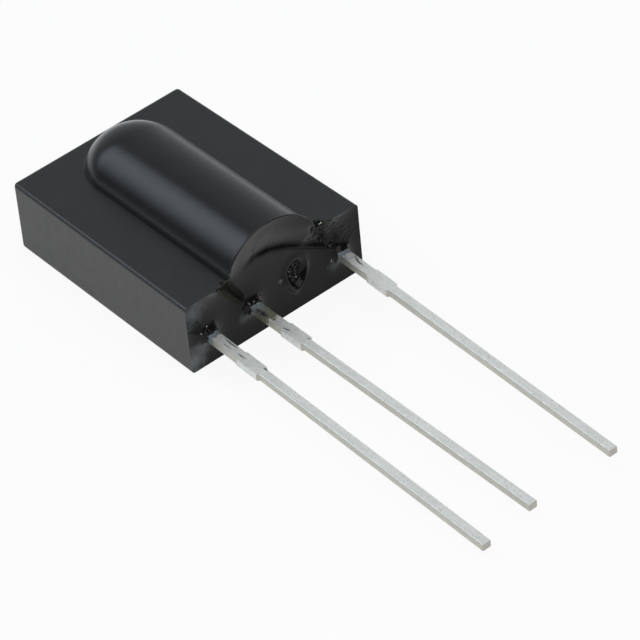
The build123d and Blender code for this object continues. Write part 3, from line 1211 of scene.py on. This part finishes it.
def scatter_tree() -> bpy.types.NodeTree:
    """Geometry nodes that strew ragged crumbs over a sheet, thickest where it is broken.

    Returns:
        The node group, whose named inputs are the crumbs' sizes, seed and finish.
    """
    group = bpy.data.node_groups.new("crumb_scatter", "GeometryNodeTree")
    for name, kind in (("Sheet", "Geometry"), ("Crumbs", "Float"), ("Seed", "Int"), ("Smallest", "Float"),
                       ("Largest", "Float"), ("Ragged", "Float"), ("Finish", "Material")):
        group.interface.new_socket(name=name, in_out="INPUT", socket_type="NodeSocket" + kind)
    group.interface.new_socket(name="Crumbs", in_out="OUTPUT", socket_type="NodeSocketGeometry")
    tree = Tree(group)
    given, result = tree.add("NodeGroupInput").outputs, tree.add("NodeGroupOutput")

    def random(low: object, high: object, kind: str, salt: int) -> Socket:
        """A random value for each crumb.

        Args:
            low: the least value or its socket.
            high: the greatest value or its socket.
            kind: the value's data type.
            salt: what sets this value's seed apart from the others.

        Returns:
            The value's socket.
        """
        limits = {"Min": low, "Max": high, "Seed": tree.math("ADD", given["Seed"], salt)}
        return tree.add("FunctionNodeRandomValue", limits, data_type=kind).outputs["Value"]

    def vector(operation: str, inputs: dict[object, object]) -> Socket:
        """One operation on vectors."""
        return tree.add("VectorMath", inputs, operation=operation).outputs["Vector"]

    broken = tree.add("GeometryNodeInputNamedAttribute", {"Name": "broken"}, data_type="FLOAT")
    crowd = tree.math("MULTIPLY", broken.outputs["Attribute"], given["Crumbs"])
    points = tree.add("GeometryNodeDistributePointsOnFaces",
                      {"Mesh": given["Sheet"], "Density": crowd, "Seed": given["Seed"]},
                      distribute_method="RANDOM")
    crumb = tree.add("GeometryNodeMeshIcoSphere", {"Radius": 0.5, "Subdivisions": 2})
    spin = random((0.0, 0.0, 0.0), (math.tau, math.tau, math.tau), "FLOAT_VECTOR", 1)
    squash = random(CRUMB_THINNEST, CRUMB_FULLEST, "FLOAT_VECTOR", 2)
    size = random(given["Smallest"], given["Largest"], "FLOAT", 3)
    place = tree.add("GeometryNodeInstanceOnPoints", {
        "Points": points.outputs["Points"], "Instance": crumb.outputs["Mesh"], "Rotation": spin,
        "Scale": vector("SCALE", {"Vector": squash, "Scale": size})})
    real = tree.add("GeometryNodeRealizeInstances", {"Geometry": place.outputs["Instances"]})
    noise = tree.add("TexNoise", {"Scale": CRUMB_CELLS})
    centred = vector("SUBTRACT", {0: noise.outputs["Color"], 1: (0.5, 0.5, 0.5)})
    shift = vector("SCALE", {"Vector": centred, "Scale": given["Ragged"]})
    moved = tree.add("GeometryNodeSetPosition", {"Geometry": real.outputs["Geometry"], "Offset": shift})
    finish = tree.add("GeometryNodeSetMaterial",
                      {"Geometry": moved.outputs["Geometry"], "Material": given["Finish"]})
    tree.feed(result, {"Crumbs": finish.outputs["Geometry"]})
    return group


@dataclass(frozen=True)
class Crumbs:
    """Ragged crumbs of one material, stuck to the broken-up epoxy; sizes in millimetres."""

    name: str
    slot: str
    seed: int
    crowd: float
    smallest: float
    largest: float
    ragged: float

    def build(self, patch: bpy.types.Object, tree: bpy.types.NodeTree,
              material: bpy.types.Material) -> bpy.types.Object:
        """Strew the crumbs.

        Args:
            patch: the sheet they stand on, which becomes the piece.
            tree: the scatter's geometry nodes.
            material: the crumbs' finish.

        Returns:
            The finished piece.
        """
        values = {"Crumbs": self.crowd / MM ** 2, "Seed": self.seed, "Smallest": self.smallest * MM,
                  "Largest": self.largest * MM, "Ragged": self.ragged * MM, "Finish": material}
        modifier = patch.modifiers.new("crumb_scatter", "NODES")
        modifier.node_group = tree
        for item in tree.interface.items_tree:
            if item.in_out == "INPUT" and item.name in values:
                modifier[item.identifier] = values[item.name]
        settle(patch)
        patch.name = self.name
        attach(patch, "root")
        return patch


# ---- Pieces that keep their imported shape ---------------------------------
class Inner(Enum):
    """The sealed nodes that only need a finish, by what they are made of."""

    CHIPS = ("photodiode_chip", "amplifier_chip")
    ADHESIVE = ("photodiode_adhesive", "amplifier_adhesive")
    WIRES = ("bond_wire_output", "bond_wire_supply", "bond_wire_ground",
             "bond_wire_diode_anode", "bond_wire_diode_cathode")


def dress(nodes: tuple[str, ...], material: bpy.types.Material) -> None:
    """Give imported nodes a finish.

    Args:
        nodes: the nodes' names.
        material: the finish they share.
    """
    for name in nodes:
        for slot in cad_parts[name].material_slots:
            slot.material = material
        LOG.info("dressed %s", name)


# ---- Studio --------------------------------------------------------------
def start_glow(name: str) -> tuple[bpy.types.Material, Tree, bpy.types.Node]:
    """A new material with no shader yet.

    Args:
        name: the material's name.

    Returns:
        The material, its tree and its output node.
    """
    material = bpy.data.materials.new(name)
    material.use_nodes = True
    nodes = material.node_tree.nodes
    nodes.remove(nodes["Principled BSDF"])
    return material, Tree(material.node_tree), nodes["Material Output"]


def rectangle(name: str, width: float, depth: float, turned: bool,
              material: bpy.types.Material) -> bpy.types.Object:
    """A flat rectangle round the origin.

    Args:
        name: the object's name.
        width: its size along X, in metres.
        depth: its size along Y, in metres.
        turned: whether it faces down.
        material: its material.

    Returns:
        The new object.
    """
    corners = [(x * width / 2, y * depth / 2, 0) for x, y in ((-1, -1), (1, -1), (1, 1), (-1, 1))]
    return mesh_object(name, corners, [[3, 2, 1, 0] if turned else [0, 1, 2, 3]], material)


@dataclass(frozen=True)
class Lamp:
    """A lamp that hangs off the receiver in one direction; sizes in metres."""

    name: str
    direction: tuple[float, float, float]
    distance: float
    width: float
    height: float
    radiance: float

    def hang(self, lamp: bpy.types.Object, target: Vector) -> None:
        """Put the lamp in its place, aimed at the target and hidden from the camera.

        Args:
            lamp: the lamp's object.
            target: the point it is aimed at, in metres.
        """
        heading = Vector(self.direction).normalized()
        lamp.location = target + heading * self.distance
        lamp.rotation_euler = heading.to_track_quat("Z", "Y").to_euler()
        lamp.visible_camera = False


@dataclass(frozen=True)
class SoftLamp(Lamp):
    """A rectangular soft light of even brightness."""

    def build(self, target: Vector) -> None:
        """Hang the lamp.

        Args:
            target: the point it is aimed at, in metres.
        """
        light = bpy.data.lights.new(self.name, "AREA")
        light.shape = "RECTANGLE"
        light.size = self.width
        light.size_y = self.height
        light.energy = self.radiance * math.pi * self.width * self.height
        lamp = bpy.data.objects.new(self.name, light)
        self.hang(lamp, target)
        bpy.context.collection.objects.link(lamp)


@dataclass(frozen=True)
class Softbox(Lamp):
    """A softbox whose cloth is brightest in the middle and fades to its edges."""

    colour: Colour

    def build(self, target: Vector) -> None:
        """Hang the softbox.

        Args:
            target: the point it is aimed at, in metres.
        """
        material, tree, output = start_glow(self.name)
        place = tree.split(tree.on_object())
        front = tree.math("SUBTRACT", 1.0, tree.add("NewGeometry").outputs["Backfacing"])
        level = tree.math("MULTIPLY", front, self.radiance)
        for axis, size in (("X", self.width), ("Y", self.height)):
            share = tree.math("DIVIDE", place[axis], size / 2)
            fall = tree.math("SUBTRACT", 1.0, tree.math("MULTIPLY", share, share))
            level = tree.math("MULTIPLY", level, tree.math("MAXIMUM", fall, 0.0))
        glow = tree.add("Emission", {"Color": self.colour, "Strength": level})
        tree.feed(output, {"Surface": glow.outputs[0]})
        cloth = rectangle(self.name, self.width, self.height, True, material)
        self.hang(cloth, target)


@dataclass(frozen=True)
class Studio:
    """Pale floor, whose glow in reflections carries painted shade to the right, two soft lamps and a room that
    is dim to the left and in front.
    """

    floor_size: float = 4.0
    floor_colour: Colour = (0.93, 0.91, 0.90)
    backdrop_share: float = 0.89
    mirrored_share: float = 0.62
    # Painted shade: the level that the floor's glow falls to in reflections, across a span to the right (+X).
    mirrored_painted_shade: float = 0.57
    painted_shade_span: Pair = (8.0, 16.0)
    room_left: float = 0.24
    room_right: float = 0.57
    room_front: float = 0.22
    across_span: Pair = (-0.75, 0.35)
    front_span: Pair = (-0.5, 0.1)
    low_span: Pair = (0.0, 0.16)
    room_colour: Colour = (0.94, 1.0, 1.03)
    aim: tuple[float, float, float] = (0.0, 0.0, 2.0)
    lamps: tuple[Lamp, ...] = (
        Softbox("key_softbox", (-0.41, 0.62, 0.67), 0.30, 0.216, 0.40, 2.7, (0.88, 1.0, 1.1)),
        SoftLamp("overhead_softbox", (-0.15, -0.5, 0.85), 0.50, 0.60, 0.60, 1.4),
    )

    def build_floor(self) -> None:
        """Lay the floor, which is white to the camera and keeps the shadow; in reflections its glow carries
        painted shade, dimmer across a span to the right.
        """
        material, tree, output = start_glow("studio_floor")
        path = tree.add("LightPath").outputs
        mirrored = tree.math("MAXIMUM", path["Is Glossy Ray"], path["Is Transmission Ray"])
        mirrored = tree.math("MULTIPLY", mirrored, self.mirrored_share)
        direct = tree.math("MULTIPLY", path["Is Camera Ray"], self.backdrop_share)
        # Painted shade: reflections see the floor's glow fade across this span to the right (+X).
        start, end = self.painted_shade_span
        far = tree.span(tree.split(tree.on_object())["X"], start * MM, end * MM, 1.0, self.mirrored_painted_shade)
        diffuse = tree.add("BsdfDiffuse", {"Color": self.floor_colour})
        glow = tree.add("Emission", {"Strength": tree.math("MAXIMUM", path["Is Camera Ray"], far)})
        mix = tree.add("MixShader", {
            0: tree.math("MAXIMUM", direct, mirrored), 1: diffuse.outputs[0], 2: glow.outputs[0]})
        tree.feed(output, {"Surface": mix.outputs[0]})
        floor = rectangle("studio_floor", self.floor_size, self.floor_size, False, material)

    def build_room(self) -> None:
        """Fill the room with plain light, dimmer towards the left and the front."""
        world = bpy.data.worlds.new("studio_room")
        world.use_nodes = True
        bpy.context.scene.world = world
        tree = Tree(world.node_tree)
        heading = tree.split(tree.add("TexCoord").outputs["Generated"])
        across = tree.span(heading["X"], *self.across_span, self.room_left, self.room_right)
        front = tree.span(heading["Y"], *self.front_span, self.room_front, 1.0)
        low = tree.span(heading["Z"], *self.low_span, 1.0, self.room_front)
        level = tree.math("MULTIPLY", across, tree.math("MAXIMUM", front, low))
        seen = tree.add("LightPath").outputs["Is Camera Ray"]
        tree.feed(world.node_tree.nodes["Background"], {
            "Color": self.room_colour, "Strength": tree.math("MAXIMUM", level, seen)})

    def build(self) -> None:
        """Set the studio up round the receiver."""
        self.build_floor()
        self.build_room()
        for lamp in self.lamps:
            lamp.build(Vector(self.aim) * MM)
            LOG.info("hung %s", lamp.name)


@dataclass(frozen=True)
class View:
    """Where the camera stands: a long lens, tipped slightly to the left."""

    azimuth: float = -37.23
    elevation: float = 40.77
    roll: float = 5.70
    distance: float = 204.92
    target: tuple[float, float, float] = (0.18, -8.94, 1.6)
    focal: float = 263.35
    sensor: float = 36.0
    nearest: float = 1.0

    def build(self) -> None:
        """Place the camera and make it the scene's own."""
        across, up = math.radians(self.azimuth), math.radians(self.elevation)
        back = Vector((math.sin(across) * math.cos(up), -math.cos(across) * math.cos(up), math.sin(up)))
        camera = bpy.data.cameras.new("studio_camera")
        camera.lens = self.focal
        camera.sensor_width = self.sensor
        camera.clip_start = self.nearest * MM
        stand = bpy.data.objects.new("studio_camera", camera)
        stand.location = (Vector(self.target) + back * self.distance) * MM
        turn = back.to_track_quat("Z", "Y").to_matrix().to_4x4()
        stand.rotation_euler = (turn @ Matrix.Rotation(math.radians(-self.roll), 4, "Z")).to_euler()
        bpy.context.collection.objects.link(stand)
        bpy.context.scene.camera = stand


# ---- Assembly ------------------------------------------------------------
def main() -> None:
    """Build every piece in order and log it."""
    logging.basicConfig(level=logging.INFO, format="%(name)s: %(message)s")
    effects = Effects()
    cast = CAST_EPOXY.build(effects)
    casting = Casting()
    body = casting.build(MOULDED_EPOXY.build(effects), LENS_EPOXY.build(effects), cast)
    LOG.info("poured %s, %d faces", body.name, len(body.data.polygons))
    scatter = scatter_tree()
    for crumbs, finish in (
        (Crumbs("epoxy_crumbs", "epoxy", 5, 70.0, 0.05, 0.13, 0.05), cast),
        (Crumbs("torn_tin_flecks", "tinned_lead", 8, 13.0, 0.04, 0.10, 0.05), FLECK.build(effects)),
    ):
        strewn = crumbs.build(casting.broken_patch(), scatter, finish)
        LOG.info("strewed %s, %d faces", strewn.name, len(strewn.data.polygons))
    for nodes, finish in (
        (("output_lead",), OUTPUT_TIN), (("ground_lead_frame",), GROUND_TIN), (("supply_lead",), SUPPLY_TIN),
        (Inner.CHIPS.value, SILICON), (Inner.ADHESIVE.value, DIE_ADHESIVE), (Inner.WIRES.value, GOLD),
    ):
        dress(nodes, finish.build(effects))
    Studio().build()
    View().build()
    bpy.context.scene.view_settings.view_transform = "Standard"


if __name__ == "__main__":
    main()
